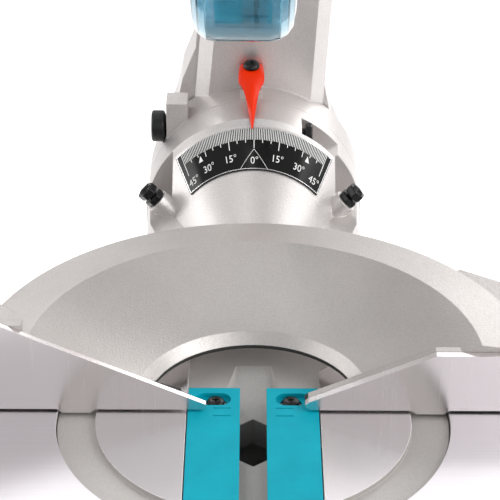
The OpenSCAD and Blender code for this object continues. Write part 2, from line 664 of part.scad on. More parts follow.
// ---------- stand ----------
module at_rail(s) translate([0, s * rail_y, rail_top - rail_h / 2]) children();
module rails() color("gray") for (s = [-1, 1]) at_rail(s) difference() {
  cube([rail_len, rail_w, rail_h], center = true);
  cube([rail_len + 2, rail_w - 5, rail_h - 5], center = true);
}

module rail_collars() color("black") for (s = [-1, 1]) for (e = [-1, 1]) at_rail(s) difference() {
  translate([e * (rail_len / 2 - 12), 0, 0]) cube([30, rail_w + 10, rail_h + 10], center = true);
  cube([rail_len, rail_w + 0.1, rail_h + 0.1], center = true);
  cube([rail_len + 30, rail_w - 5, rail_h - 5], center = true);
}

module saw_brackets() color("dimgray") for (s = [-1, 1]) difference() {
  union() {
    translate([s * 220 - 24, -104, rail_top]) cube([48, 208, saw_on_rail]);
    for (y = [-54.5, 50]) translate([s * 220 - 24, y, rail_top - 26]) cube([48, 4.5, 26.1]);
  }
  for (y = foot_bolt_y) translate([s * 220, saw_y + y, rail_top - 20]) cylinder(r = 4.2, h = 60);
}

module bracket_bolts() color("dimgray") for (s = [-1, 1]) for (y = foot_bolt_y) translate([s * 220,
  saw_y + y, rail_top]) {
  cylinder(r = 4, h = saw_on_rail + 17);
  translate([0, 0, -6]) hex_head(7, 6);
}

// Leg frame: the leg runs down its own -z, and its hinge pin lies along its own y.
function leg_hip(sx, sy) = [sx * leg_hinge_x, sy * (sx < 0 ? leg_ys[0] : leg_ys[1]), leg_hinge_z];
function leg_foot(sx, sy) = [sx * foot_x, sy * foot_y, foot_r - 1.5];
function unit(v) = v / norm(v);
function leg_length(sx, sy) = norm(leg_foot(sx, sy) - leg_hip(sx, sy));
module at_leg(sx, sy) {
  h = leg_hip(sx, sy);
  z = unit(h - leg_foot(sx, sy));
  y = unit([0, z[2], -z[1]]);
  x = cross(y, z);
  multmatrix([[x[0], y[0], z[0], h[0]], [x[1], y[1], z[1], h[1]], [x[2], y[2], z[2], h[2]], [0, 0, 0,
    1]]) children();
}
module pin_y(r, half) rotate([90, 0, 0]) cylinder(r = r, h = 2 * half, center = true);

module leg(sx, sy) color("gray") at_leg(sx, sy) difference() {
  union() {
    translate([0, 0, -leg_length(sx, sy) + 14]) cylinder(r = leg_r, h = leg_length(sx, sy) - 40);
    translate([-11, -10, -30]) cube([22, 20, 30]);
    pin_y(11, 10);
  }
  pin_y(5.05, 30);
  translate([0, 0, -leg_length(sx, sy)]) cylinder(r = leg_r - 2, h = leg_length(sx, sy) - 44);
}
module foot(sx, sy) color("black") difference() {
  at_leg(sx, sy) translate([0, 0, -leg_length(sx, sy)]) difference() {
    union() {
      sphere(r = foot_r);
      cylinder(r = leg_r + 3, h = 46);
    }
    translate([0, 0, 13.95]) cylinder(r = leg_r + 0.02, h = 60);
  }
  translate([-900, -900, -60]) cube([1800, 1800, 60]);
}
module leg_front_left() leg(-1, -1);
module leg_front_right() leg(1, -1);
module leg_rear_left() leg(-1, 1);
module leg_rear_right() leg(1, 1);
module foot_front_left() foot(-1, -1);
module foot_front_right() foot(1, -1);
module foot_rear_left() foot(-1, 1);
module foot_rear_right() foot(1, 1);

module leg_brackets() color("dimgray") for (sx = [-1, 1]) for (sy = [-1, 1]) difference() {
  union() {
    at_leg(sx, sy) {
      for (s = [-1, 1]) translate([-16, s * 13 - 2.5, -16]) cube([32, 5, 60]);
      pin_y(5, 17);
    }
    translate(leg_hip(sx, sy) + [-21, -30, 19]) cube([42, 60, 7]);
  }
  translate([-600, -300, rail_top - rail_h]) cube([1200, 600, 100]);
}

module extension(s) color("silver") {
  for (e = [-1, 1]) at_rail(e) difference() {
    translate([s * (rail_len / 2 - 200), 0, 0]) cube([430, rail_w - 6, rail_h - 6], center = true);
    translate([s * (rail_len / 2 - 200), 0, 0]) cube([440, rail_w - 10, rail_h - 10], center = true);
  }
  translate([s * (rail_len / 2 + 28) - 13, -100, rail_top - rail_h]) cube([26, 200, rail_h]);
  for (e = [-1, 1]) difference() {
    translate([s * (rail_len / 2 + 28) - 13, e * 158 - 3, rail_top - 20]) cube([26, 6, table_z - rail_top + 8]);
    translate([s * (rail_len / 2 + 28), 0, table_z - roller_r]) pin_y(5.05, 200);
  }
  difference() {
    translate([s * (rail_len / 2 + 28) - 13, -161, rail_top - 20]) cube([26, 322, 8]);
    translate([s * (rail_len / 2 + 28) - 14, -100, rail_top - 30]) cube([28, 200, 17]);
  }
}
module extension_left() extension(-1);
module extension_right() extension(1);
module roller(s) color("silver") translate([s * (rail_len / 2 + 28), 0, table_z - roller_r]) {
  pin_y(roller_r, 148);
  pin_y(5, 166);
}
module roller_left() roller(-1);
module roller_right() roller(1);

base_casting();
mitre_scale();
fence_casting();
left_fence_plate();
right_fence_plate();
fence_bolts();
pivot_bolt();
turntable();
kerf_board_left();
kerf_board_right();
kerf_screws();
mitre_pointer();
mitre_grip();
detent_lever();
bevel_housing();
bevel_scale();
stop_bolts();
clamp_shaft();
bevel_lever();
arm();
bevel_pointer();
pointer_screw();
release_pin();
head_pivot_pin();
head_lock_pin();
head_frame();
upper_guard();
motor_housing();
motor_end_cap();
motor_stator();
motor_armature();
brush_caps();
handle();
trigger();
lock_off_button();
carry_handle();
dust_spout();
lower_guard();
blade();
blade_flanges();
arbor_bolt();
spindle();
rails();
rail_collars();
saw_brackets();
bracket_bolts();
leg_brackets();
leg_front_left();
leg_front_right();
leg_rear_left();
leg_rear_right();
foot_front_left();
foot_front_right();
foot_rear_left();
foot_rear_right();
extension_left();
extension_right();
roller_left();
roller_right();
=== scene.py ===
import json
import math

import bmesh
import bpy
from mathutils import Matrix, Vector


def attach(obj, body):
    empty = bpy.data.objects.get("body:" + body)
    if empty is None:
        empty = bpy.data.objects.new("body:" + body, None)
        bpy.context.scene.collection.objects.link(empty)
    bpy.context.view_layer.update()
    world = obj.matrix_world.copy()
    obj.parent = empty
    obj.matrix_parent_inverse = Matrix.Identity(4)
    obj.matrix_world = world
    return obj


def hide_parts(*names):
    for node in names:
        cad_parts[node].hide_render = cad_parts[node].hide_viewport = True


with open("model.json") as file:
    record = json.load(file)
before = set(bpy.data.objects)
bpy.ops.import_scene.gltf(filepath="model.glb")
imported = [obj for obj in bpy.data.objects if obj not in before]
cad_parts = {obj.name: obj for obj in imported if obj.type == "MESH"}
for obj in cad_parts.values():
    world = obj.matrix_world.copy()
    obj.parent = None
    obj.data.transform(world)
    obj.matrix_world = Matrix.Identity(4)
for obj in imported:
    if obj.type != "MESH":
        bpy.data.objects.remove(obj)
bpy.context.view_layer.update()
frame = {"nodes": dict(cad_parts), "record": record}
NODES = frame["nodes"]
JOINTS = {j["name"]: j for j in frame["record"]["behaviour"]["joints"]}

# The saw's own origin is on its table, on the turntable's axis.
SAW = Vector(JOINTS["mitre"]["pos_m"])
MM = 0.001
PIVOT = Vector(JOINTS["head_chop"]["pos_m"])
ARBOR = Vector(JOINTS["blade_spin"]["pos_m"])
CHOP = math.radians(JOINTS["head_chop"]["range_deg"][1])


def saw(x, y, z):
    """A point in the model's frame in metres, from millimetres in the saw's frame."""
    return SAW + Vector((x, y, z)) * MM


# ---------- materials ----------
class Net:
    """A material's nodes, with short ways to add and link them."""

    def __init__(self, name):
        self.mat = bpy.data.materials.new(name)
        self.mat.use_nodes = True
        self.tree = self.mat.node_tree
        self.out = self.tree.nodes["Material Output"]
        self.bsdf = self.tree.nodes["Principled BSDF"]

    def add(self, kind, inputs=None, **props):
        n = self.tree.nodes.new("ShaderNode" + kind)
        for k, v in props.items():
            setattr(n, k, v)
        for k, v in (inputs or {}).items():
            if isinstance(v, bpy.types.NodeSocket):
                self.tree.links.new(v, n.inputs[k])
            else:
                n.inputs[k].default_value = v
        return n

    def set(self, **values):
        """Sets or links the main shader's inputs; _ stands for a space in their names."""
        for k, v in values.items():
            key = k.replace("_", " ")
            if isinstance(v, bpy.types.NodeSocket):
                self.tree.links.new(v, self.bsdf.inputs[key])
            else:
                self.bsdf.inputs[key].default_value = v

    def coords(self, scale=(1, 1, 1)):
        tc = self.add("TexCoord")
        return self.add("Mapping", {"Vector": tc.outputs["Object"], "Scale": scale}).outputs[0]

    def noise(self, scale, detail=3.0, rough=0.5, vector=None):
        n = self.add("TexNoise", {"Scale": scale, "Detail": detail, "Roughness": rough})
        self.tree.links.new(vector if vector is not None else self.coords(), n.inputs["Vector"])
        return n.outputs["Fac"]

    def ramp(self, fac, stops):
        r = self.add("ValToRGB", {"Fac": fac})
        el = r.color_ramp.elements
        while len(el) < len(stops):
            el.new(0.5)
        for e, (pos, col) in zip(el, stops):
            e.position = pos
            e.color = col if len(col) == 4 else (*col, 1)
        return r.outputs["Color"]

    def remap(self, fac, low, high):
        """Takes a value from 0..1 to low..high."""
        return self.add("MapRange", {"Value": fac, "To Min": low, "To Max": high}).outputs["Result"]

    def math(self, op, a, b):
        return self.add("Math", {0: a, 1: b}, operation=op).outputs[0]

    def bump(self, height, strength=0.3, distance=0.0003, edge=0.0005):
        """Fine relief; edge is the radius in metres that the sharp edges are shaded with."""
        n = self.add("Bump", {"Height": height, "Strength": strength, "Distance": distance})
        soft = self.add("Bevel", {"Radius": edge}, samples=4)
        self.tree.links.new(soft.outputs[0], n.inputs["Normal"])
        return n.outputs["Normal"]


def srgb(code, alpha=1.0):
    """Linear colour from a hex code."""
    v = [int(code[i:i + 2], 16) / 255 for i in (0, 2, 4)]
    return tuple(((c + 0.055) / 1.055) ** 2.4 if c > 0.04045 else c / 12.92 for c in v) + (alpha,)


def tint(net, base, spread, scale, detail=4.0):
    """Colour that varies a little round base."""
    dark = tuple(c * (1 - spread) for c in base[:3])
    light = tuple(min(1.0, c * (1 + spread)) for c in base[:3])
    return net.ramp(net.noise(scale, detail), [(0.3, dark), (0.7, light)])


def plastic(name, code, rough=0.4, grain=1400, bump=0.15, coat=0.0, spread=0.08, shine=0.5):
    n = Net(name)
    n.set(Base_Color=tint(n, srgb(code), spread, 40),
          Roughness=n.remap(n.noise(90, 5), rough - 0.06, rough + 0.08),
          Normal=n.bump(n.noise(grain, 2), bump, 0.0002))
    n.set(Coat_Weight=coat, Coat_Roughness=0.06, Specular_IOR_Level=shine)
    return n.mat


# radius in metres that a casting's sharp edges are shaded with
CAST_EDGE = 0.0009


def cast(name, code, rough=0.45, metal=0.75, grain=1100, bump=0.5, spread=0.10, speck=0.16):
    """Cast or textured-paint metal: fine sparkle, slow mottling."""
    n = Net(name)
    base = srgb(code)
    slow = tint(n, base, spread, 9, 5)
    fine = n.ramp(n.noise(grain * 1.6, 1.0), [(0.3, (1 - speck,) * 3), (0.7, (1, 1, 1))])
    mix = n.add("Mix", data_type="RGBA", blend_type="MULTIPLY")
    mix.inputs[0].default_value = 1.0
    n.tree.links.new(slow, mix.inputs[6])
    n.tree.links.new(fine, mix.inputs[7])
    n.set(Base_Color=mix.outputs[2], Metallic=metal,
          Roughness=n.remap(n.noise(300, 4), rough - 0.07, rough + 0.09),
          Normal=n.bump(n.noise(grain, 2.5), bump, 0.00035, CAST_EDGE))
    return n.mat


def machined(name, code, scale, rough=0.26, aniso=0.6, line_bump=0.25, tangent=None, line_dark=0.06):
    """Metal cut in straight lines: scale stretches the noise along the cut."""
    n = Net(name)
    base = srgb(code)
    lines = n.noise(1.0, 4, 0.7, n.coords(scale))
    dark = tuple(c * (1 - line_dark) for c in base[:3])
    n.set(Base_Color=n.ramp(lines, [(0.3, dark), (0.7, base[:3])]), Metallic=1.0,
          Roughness=n.remap(lines, rough - 0.05, rough + 0.08), Normal=n.bump(lines, line_bump, 0.0001))
    n.set(Anisotropic=aniso)
    if tangent:
        t = n.add("CombineXYZ", {0: tangent[0], 1: tangent[1], 2: tangent[2]})
        n.tree.links.new(t.outputs[0], n.bsdf.inputs["Tangent"])
    return n.mat


def turned(name, code, centre, rough=0.24, aniso=0.75, rings=2600.0):
    """Metal turned about a vertical axis through centre."""
    n = Net(name)
    tc = n.add("TexCoord")
    rel = n.add("VectorMath", {0: tc.outputs["Object"], 1: centre}, operation="SUBTRACT").outputs[0]
    flat = n.add("VectorMath", {0: rel, 1: (1, 1, 0)}, operation="MULTIPLY").outputs[0]
    radius = n.add("VectorMath", {0: flat}, operation="LENGTH").outputs["Value"]
    rings_v = n.add("CombineXYZ", {0: n.math("MULTIPLY", radius, rings)}).outputs[0]
    lines = n.noise(1.0, 3, 0.7, rings_v)
    base = srgb(code)
    dark = tuple(c * 0.97 for c in base[:3])
    n.set(Base_Color=n.ramp(lines, [(0.3, dark), (0.7, base[:3])]), Metallic=1.0,
          Roughness=n.remap(lines, rough - 0.03, rough + 0.04), Normal=n.bump(lines, 0.06, 0.00005))
    n.set(Anisotropic=aniso)
    tang = n.add("VectorMath", {0: (0, 0, 1), 1: flat}, operation="CROSS_PRODUCT").outputs[0]
    tang = n.add("VectorMath", {0: tang}, operation="NORMALIZE").outputs[0]
    n.tree.links.new(tang, n.bsdf.inputs["Tangent"])
    return n.mat


def clear(name, code, rough=0.04):
    n = Net(name)
    n.set(Base_Color=tint(n, srgb(code), 0.04, 12), Roughness=n.remap(n.noise(60, 4), rough, rough + 0.05),
          Normal=n.bump(n.noise(25, 2), 0.02, 0.001))
    n.set(Transmission_Weight=0.92, IOR=1.45)
    return n.mat


M = {
    "table": machined("table_machined", "e8e4e8", (3, 700, 3), 0.34, 0.5, 0.08, (1, 0, 0), 0.05),
    "disc": turned("disc_turned", "e4dfe1", SAW, 0.22, 0.85),
    "ring": cast("ring_cast", "c6c2bf", 0.5, 0.7),
    "casting": cast("fence_cast", "c3bebb", 0.42, 0.8, 900, 0.45),
    # dark painted shade for the inner wall of the arch's opening, under its rim
    "rim": cast("opening_wall_painted_shade", "3a3836", 0.6, 0.4, 900, 0.5),
    "base_cast": cast("base_cast", "c4c1be", 0.5, 0.7, 800, 0.4),
    "fence": machined("fence_plate_metal", "e9e4e4", (700, 3, 3), 0.24, 0.3, 0.02, (0, 0, 1), 0.015),
    "paint": cast("silver_texture", "d8d3d1", 0.4, 0.8, 1000, 0.5),
    "teal": plastic("insert_teal_plastic", "009bae", 0.5, 900, 0.15, shine=0.12),
    "body_teal": plastic("body_teal_plastic", "00808e", 0.36, 1300, 0.2, shine=0.4),
    "orange": plastic("signal_orange_plastic", "e22c00", 0.2, 300, 0.04, 0.2, 0.03, 0.08),
    "black_metal": cast("black_oxide_metal", "0e0e0f", 0.26, 0.3, 1500, 0.15, 0.2, 0.2),
    "scale": plastic("scale_black_plate", "040405", 0.14, 500, 0.02, 0.0, 0.1, 0.25),
    "border": machined("plate_border_metal", "efeeee", (400, 400, 4), 0.25, 0.3, 0.1, None, 0.04),
    "grip": plastic("soft_grip_rubber", "101113", 0.62, 1900, 0.5, shine=0.3),
    "plastic": plastic("black_plastic", "0d0e0f", 0.4, 1500, 0.35, shine=0.4),
    "steel": machined("turned_steel", "cfcfd2", (900, 900, 4), 0.25, 0.3, 0.15, None, 0.08),
    "carbide": machined("carbide_tips", "77787c", (300, 300, 300), 0.35, 0.0, 0.1, None, 0.1),
    "blade": machined("ground_blade", "d2d2d6", (5, 5, 700), 0.25, 0.5, 0.15, None, 0.06),
    "winding": plastic("copper_winding", "7a4a2a", 0.4, 500, 0.4),
    "rail": machined("rail_anodised", "c2c5ca", (3, 700, 700), 0.32, 0.4, 0.12, (1, 0, 0), 0.06),
    "powder": cast("powder_coat_black", "1a1c1f", 0.5, 0.15, 1500, 0.5, 0.1, 0.1),
    "rubber": plastic("foot_rubber_black", "121213", 0.75, 900, 0.4, shine=0.25),
    "guard": clear("guard_clear_teal", "8fd0e6"),
    "mark": plastic("printed_white", "f4f4f2", 0.4, 400, 0.02),
}

NODE_MATERIAL = {
    "base_casting": "base_cast", "mitre_scale": "scale", "fence_casting": "casting",
    "left_fence_plate": "fence", "right_fence_plate": "fence", "fence_bolts": "black_metal",
    # the pivot bolt under the hex hole is black: partly the bolt's own colour, partly painted shade that
    # keeps the deep hole dark
    "pivot_bolt": "black_metal", "turntable": "ring", "kerf_board_left": "teal",
    "kerf_board_right": "teal", "kerf_screws": "black_metal", "mitre_pointer": "orange",
    "mitre_grip": "grip", "detent_lever": "plastic", "bevel_housing": "paint", "bevel_scale": "scale",
    "stop_bolts": "black_metal", "clamp_shaft": "steel", "bevel_lever": "plastic", "arm": "paint",
    "bevel_pointer": "orange", "pointer_screw": "black_metal", "release_pin": "plastic",
    "head_pivot_pin": "steel", "head_lock_pin": "plastic", "head_frame": "paint",
    "upper_guard": "body_teal", "motor_housing": "body_teal", "motor_end_cap": "plastic",
    "motor_stator": "winding", "motor_armature": "winding", "brush_caps": "plastic", "handle": "grip",
    "trigger": "orange", "lock_off_button": "plastic", "carry_handle": "plastic",
    "dust_spout": "plastic", "lower_guard": "guard", "blade": "blade", "blade_flanges": "steel",
    "arbor_bolt": "black_metal", "spindle": "steel", "rails": "rail", "rail_collars": "plastic",
    "saw_brackets": "powder", "bracket_bolts": "steel", "leg_brackets": "powder",
    "extension_left": "powder", "extension_right": "powder", "roller_left": "rail",
    "roller_right": "rail",
}
for name, obj in NODES.items():
    key = NODE_MATERIAL.get(name, "rubber" if name.startswith("foot") else "powder")
    obj.data.materials.clear()
    obj.data.materials.append(M[key])


def paint_faces(node, key, test):
    """Another material for the faces that pass test(centre in the saw's frame in mm, normal)."""
    obj = NODES[node]
    obj.data.materials.append(M[key])
    slot = len(obj.data.materials) - 1
    for p in obj.data.polygons:
        c = (p.center - SAW) / MM
        if test(c, p.normal):
            p.material_index = slot


# radius in metres where the blade's carbide tips begin
CARBIDE_R = 0.1235
# the wall of the arch's opening, which is painted dark as shade: its largest radius and height and its least
# y, in mm
WALL_R, WALL_TOP, WALL_Y = 58.6, 11.6, 12


def off_arbor(c):
    """How far a point of the saw's frame is from the arbor's axis, in metres."""
    return (saw(0, c.y, c.z) - Vector((SAW.x, ARBOR.y, ARBOR.z))).length


def on_opening_wall(c, n):
    return math.hypot(c.x, c.y) < WALL_R and c.z < WALL_TOP and c.y > WALL_Y


paint_faces("base_casting", "table", lambda c, n: n.z > 0.95 and c.z > -1)
paint_faces("turntable", "disc", lambda c, n: n.z > 0.95 and c.z > -0.5)
paint_faces("blade", "carbide", lambda c, n: off_arbor(c) > CARBIDE_R)
# the inner wall of the arch's opening gets the dark painted shade
paint_faces("fence_casting", "rim", on_opening_wall)


# ---------- small builders ----------
def new_piece(name, verts, faces, material, body, smooth=True, slot=None):
    me = bpy.data.meshes.new(name)
    me.from_pydata([tuple(v) for v in verts], [], faces)
    me.validate()
    me.update()
    ob = bpy.data.objects.new(name, me)
    bpy.context.scene.collection.objects.link(ob)
    me.materials.append(M[material])
    if smooth:
        for p in me.polygons:
            p.use_smooth = True
    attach(ob, body)
    return ob


def frame_at(origin, axis, up=(0, 0, 1)):
    """4x4 whose z runs along axis from origin."""
    z = Vector(axis).normalized()
    x = Vector(up).cross(z)
    if x.length < 1e-6:
        x = Vector((1, 0, 0)).cross(z)
    x.normalize()
    y = z.cross(x)
    m = Matrix((x, y, z)).transposed().to_4x4()
    m.translation = Vector(origin)
    return m


def lathe(profile, matrix, steps=48):
    """A solid of revolution: profile is a list of (radius, z) in mm, from the axis out and back to it."""
    verts, faces = [], []
    ring = []
    for r, z in profile:
        if r < 1e-6:
            verts.append(matrix @ Vector((0, 0, z * MM)))
            ring.append([len(verts) - 1])
        else:
            ids = []
            for k in range(steps):
                a = 2 * math.pi * k / steps
                verts.append(matrix @ Vector((r * MM * math.cos(a), r * MM * math.sin(a), z * MM)))
                ids.append(len(verts) - 1)
            ring.append(ids)
    for a, b in zip(ring, ring[1:]):
        for k in range(steps):
            k2 = (k + 1) % steps
            if len(a) == 1:
                faces.append((a[0], b[k2], b[k]))
            elif len(b) == 1:
                faces.append((a[k], a[k2], b[0]))
            else:
                faces.append((a[k], a[k2], b[k2], b[k]))
    return verts, faces


def rounded(points, r, steps=4):
    """Rounds the inner corners of an open (radius, z) profile."""
    out = [points[0]]
    for p0, p1, p2 in zip(points, points[1:], points[2:]):
        a, b, c = Vector(p0), Vector(p1), Vector(p2)
        u, v = (a - b), (c - b)
        d = min(r, u.length * 0.49, v.length * 0.49)
        s, e = b + u.normalized() * d, b + v.normalized() * d
        for k in range(steps + 1):
            t = k / steps
            out.append(tuple((1 - t) ** 2 * s + 2 * t * (1 - t) * b + t ** 2 * e))
    out.append(points[-1])
    return out


def cross_cutter(matrix, half, width, depth, name):
    """A Phillips recess: two tapered blades."""
    bm = bmesh.new()
    for turn in (0, math.pi / 2):
        rot = Matrix.Rotation(turn, 4, "Z")
        top = [(-half, -width), (half, -width), (half, width), (-half, width)]
        low = [(x * 0.35, y * 0.6) for x, y in top]
        vs = [bm.verts.new(matrix @ (rot @ Vector((x * MM, y * MM, 1.2 * MM)))) for x, y in top]
        ws = [bm.verts.new(matrix @ (rot @ Vector((x * MM, y * MM, -depth * MM)))) for x, y in low]
        bm.faces.new(vs)
        bm.faces.new(ws[::-1])
        for k in range(4):
            bm.faces.new((vs[k], ws[k], ws[(k + 1) % 4], vs[(k + 1) % 4]))
    me = bpy.data.meshes.new(name)
    bm.normal_update()
    bm.to_mesh(me)
    bm.free()
    ob = bpy.data.objects.new(name, me)
    bpy.context.scene.collection.objects.link(ob)
    return ob


def carve(ob, *cutters):
    """Cuts the cutters out of a piece for good, then removes them."""
    for c in cutters:
        m = ob.modifiers.new("cut", "BOOLEAN")
        m.object = c
        m.operation = "DIFFERENCE"
        m.solver = "EXACT"
        m.use_self = True
    deps = bpy.context.evaluated_depsgraph_get()
    me = bpy.data.meshes.new_from_object(ob.evaluated_get(deps))
    ob.modifiers.clear()
    old = ob.data
    ob.data = me
    bpy.data.meshes.remove(old)
    for c in cutters:
        bpy.data.objects.remove(c)


def edges(ob, width=0.5, steps=2, angle=35):
    """A small rounding on the sharp edges."""
    m = ob.modifiers.new("edges", "BEVEL")
    m.width = width * MM
    m.segments = steps
    m.limit_method = "ANGLE"
    m.angle_limit = math.radians(angle)
    m.harden_normals = False
    m.use_clamp_overlap = True


def pan_screw(name, top, axis, radius, height, material, body, shank=None):
    """Domed head with a Phillips recess; top is the middle of the dome."""
    m = frame_at(top, axis)
    prof = [(0, -height), (radius * 0.96, -height), (radius, -height * 0.8), (radius * 0.96, -height * 0.5),
            (radius * 0.84, -height * 0.22), (radius * 0.6, -height * 0.06), (radius * 0.3, 0), (0, 0.02)]
    if shank:
        prof = [(0, -height - shank[1]), (shank[0], -height - shank[1]), (shank[0], -height)] + prof[1:]
    v, f = lathe(prof, m, 40)
    ob = new_piece(name, v, f, material, body)
    carve(ob, cross_cutter(m, radius * 0.5, radius * 0.11, height * 0.75, name + "_cut"))
    for p in ob.data.polygons:
        p.use_smooth = True
    sharp_by_angle(ob, 40)
    return ob


def sharp_by_angle(ob, angle):
    me = ob.data
    bm = bmesh.new()
    bm.from_mesh(me)
    for e in bm.edges:
        e.smooth = not (len(e.link_faces) == 2 and e.calc_face_angle(0) > math.radians(angle))
    bm.to_mesh(me)
    bm.free()


# ---------- bevel scale markings ----------
SCALE_Y = (227.3, 196.0)   # outer and inner edge of the plate along the axis, mm
CONE_R = (66.5, 52.0)   # radius of the cone under the plate at its ends, mm
CONE_Y = (229.0, 196.0)   # where those ends are along the axis, mm
CONE = (CONE_R[0] - CONE_R[1]) / (CONE_Y[0] - CONE_Y[1])
DIAL = (60.0, 34.0)   # the printed face's radius and height, mm
PLATE_R = 66   # the plate's radius at its outer edge, mm
PLATE_DROP = 14.0   # how much smaller it is at its inner edge, mm
LONG_MARKS = {0: 0.5, 15: 0.5, 30: 0.44, 35: 0.36, 45: 0.6}   # where these degrees' marks end


def on_cone(angle, t, lift=0.78):
    """A point over the scale plate: angle from the top in degrees; t is 0 at the outer edge, 1 inside."""
    y = SCALE_Y[0] + (SCALE_Y[1] - SCALE_Y[0]) * t
    r = CONE_R[1] + (y - CONE_Y[1]) * CONE
    n = math.hypot(1, CONE)
    r += lift / n
    y -= lift * CONE / n
    a = math.radians(angle)
    return saw(r * math.sin(a), y, r * math.cos(a))


def strip(verts, faces, place, points, width, size):
    """A thin line through points of (angle, t) on a dial; size is its (radius, height); all in mm."""
    base = len(verts)
    r, high = size
    for k, (a, t) in enumerate(points):
        a0, t0 = points[max(0, k - 1)]
        a1, t1 = points[min(len(points) - 1, k + 1)]
        dx, dy = math.radians(a1 - a0) * r, (t1 - t0) * high
        length = math.hypot(dx, dy)
        nx, ny = -dy / length * width / 2, dx / length * width / 2
        for s in (-1, 1):
            verts.append(place(a + s * math.degrees(nx / r), t + s * ny / high))
    for k in range(len(points) - 1):
        i = base + 2 * k
        faces.append((i, i + 1, i + 3, i + 2))


def scale_marks():
    """A mark for each degree, a longer one for each fifth, the V below 0 and the triangles at 34."""
    verts, faces = [], []
    for a in range(-45, 46):
        strip(verts, faces, on_cone, [(a, 0.03), (a, 0.3)], 0.42, DIAL)
    for a in range(-45, 46, 5):
        strip(verts, faces, on_cone, [(a, 0.3), (a, LONG_MARKS.get(abs(a), 0.37))], 0.5, DIAL)
    for s in (-1, 1):
        leg = [(0, 0.52), (s * 3.2, 0.68), (s * 6.4, 0.84), (s * 9.4, 0.985)]
        strip(verts, faces, on_cone, leg, 0.28, DIAL)
        base = len(verts)
        verts.extend(on_cone(s * a, t) for a, t in ((33.6, 0.35), (35.6, 0.5), (32.6, 0.5)))
        faces.append((base, base + 1, base + 2))
    return verts, faces


def dial_numbers(place, numbers, letter, squeeze, radius, high):
    """Numbers laid on a dial: numbers is a list of (text, angle, t); radius(t) in mm."""
    verts, faces = [], []
    for text, angle, t in numbers:
        cu = bpy.data.curves.new("label", "FONT")
        cu.body = text
        cu.align_x, cu.align_y = "CENTER", "CENTER"
        cu.size = letter
        cu.resolution_u = 3
        ob = bpy.data.objects.new("label", cu)
        bpy.context.scene.collection.objects.link(ob)
        deps = bpy.context.evaluated_depsgraph_get()
        me = bpy.data.meshes.new_from_object(ob.evaluated_get(deps))
        base = len(verts)
        for v in me.vertices:
            verts.append(place(angle + math.degrees(v.co.x * squeeze / radius(t)), t - v.co.y / high))
        faces.extend(tuple(base + i for i in p.vertices) for p in me.polygons)
        bpy.data.objects.remove(ob)
        bpy.data.meshes.remove(me)
        bpy.data.curves.remove(cu)
    return verts, faces


def scale_labels():
    sides = (("45°", 42.6, 0.80), ("30°", 30.0, 0.73), ("15°", 15.0, 0.71))
    numbers = [(text, s * angle, t) for text, angle, t in sides for s in (-1, 1)]
    numbers.append(("0°", 0.3, 0.80))
    return dial_numbers(on_cone, numbers, 8.0, 0.72, lambda t: CONE_R[1] + (1 - t) * PLATE_DROP, DIAL[1])


# ---------- mitre scale markings ----------
RIM_TOP = (151.1, -0.44)   # radius and height of the mitre scale's top edge, mm
RIM_FALL = (7.2, -14.4)   # how both change down to its lower edge, mm
RIM_NORMAL = (0.894, 0.447)   # the printed face's outward direction
RIM = (154.0, 16.1)   # the printed face's radius and height, mm


def on_rim(angle, t, lift=0.06):
    """A point on the mitre scale: angle from the front, positive right; t is 0 at the top edge, 1 below."""
    r = RIM_TOP[0] + RIM_FALL[0] * t + lift * RIM_NORMAL[0]
    z = RIM_TOP[1] + RIM_FALL[1] * t + lift * RIM_NORMAL[1]
    a = math.radians(angle)
    return saw(r * math.sin(a), -r * math.cos(a), z)


def rim_marks():
    verts, faces = [], []
    for a in range(-45, 46):
        end = 0.46 if a % 15 == 0 else 0.36 if a % 5 == 0 else 0.24
        strip(verts, faces, on_rim, [(a, 0.04), (a, end)], 0.5 if a % 5 else 0.7, RIM)
    return verts, faces


def rim_labels():
    numbers = [("%d°" % abs(a), a * 0.985, 0.7) for a in (-45, -30, -15, 0, 15, 30, 45)]
    return dial_numbers(on_rim, numbers, 7.0, 0.95, lambda t: 155.0, RIM[1])


def thicken(ob, depth=0.05):
    """Gives a flat print its thickness, in mm."""
    m = ob.modifiers.new("thick", "SOLIDIFY")
    m.thickness = depth * MM
    m.offset = 0


def scale_border():
    """A thin frame round the plate's printed face."""
    verts, faces = [], []
    wide, edge, lift = 0.5, 48.6, 0.76
    outer, inner, steps = 0.012, 0.988, 48
    for t0, t1 in ((outer, outer + wide / DIAL[1]), (inner - wide / DIAL[1], inner)):
        base = len(verts)
        for k in range(steps + 1):
            a = -edge + 2 * edge * k / steps
            verts.extend((on_cone(a, t0, lift), on_cone(a, t1, lift)))
        for k in range(steps):
            i = base + 2 * k
            faces.append((i, i + 1, i + 3, i + 2))
    for s in (-1, 1):
        base = len(verts)
        for t in (outer, inner):
            turn = math.degrees(wide / (PLATE_R - PLATE_DROP * t))
            verts.extend((on_cone(s * edge, t, lift), on_cone(s * (edge - turn), t, lift)))
        faces.append((base, base + 1, base + 3, base + 2))
    return verts, faces


border = new_piece("scale_border", *scale_border(), "border", "turntable_body", False, "scale_black")
thicken(border)
marks = new_piece("scale_marks", *scale_marks(), "mark", "turntable_body", False, "scale_black")
thicken(marks)
labels = new_piece("scale_numbers", *scale_labels(), "mark", "turntable_body", False, "scale_black")
thicken(labels)
for name, made in (("mitre_scale_marks", rim_marks()), ("mitre_scale_numbers", rim_labels())):
    thicken(new_piece(name, *made, "mark", "stand_and_base", False, "scale_black"))

# ---------- bevel pointer ----------
def loft(sections, caps=True):
    """Quads through rings of equal length."""
    verts = [v for ring in sections for v in ring]
    n = len(sections[0])
    faces = []
    for k in range(len(sections) - 1):
        for j in range(n):
            a, b = k * n + j, k * n + (j + 1) % n
            faces.append((a, b, b + n, a + n))
    if caps:
        faces.append(tuple(reversed(range(n))))
        faces.append(tuple(range((len(sections) - 1) * n, len(sections) * n)))
    return verts, faces


def subdivide(ob, levels=2):
    m = ob.modifiers.new("round", "SUBSURF")
    m.levels = levels
    m.render_levels = levels


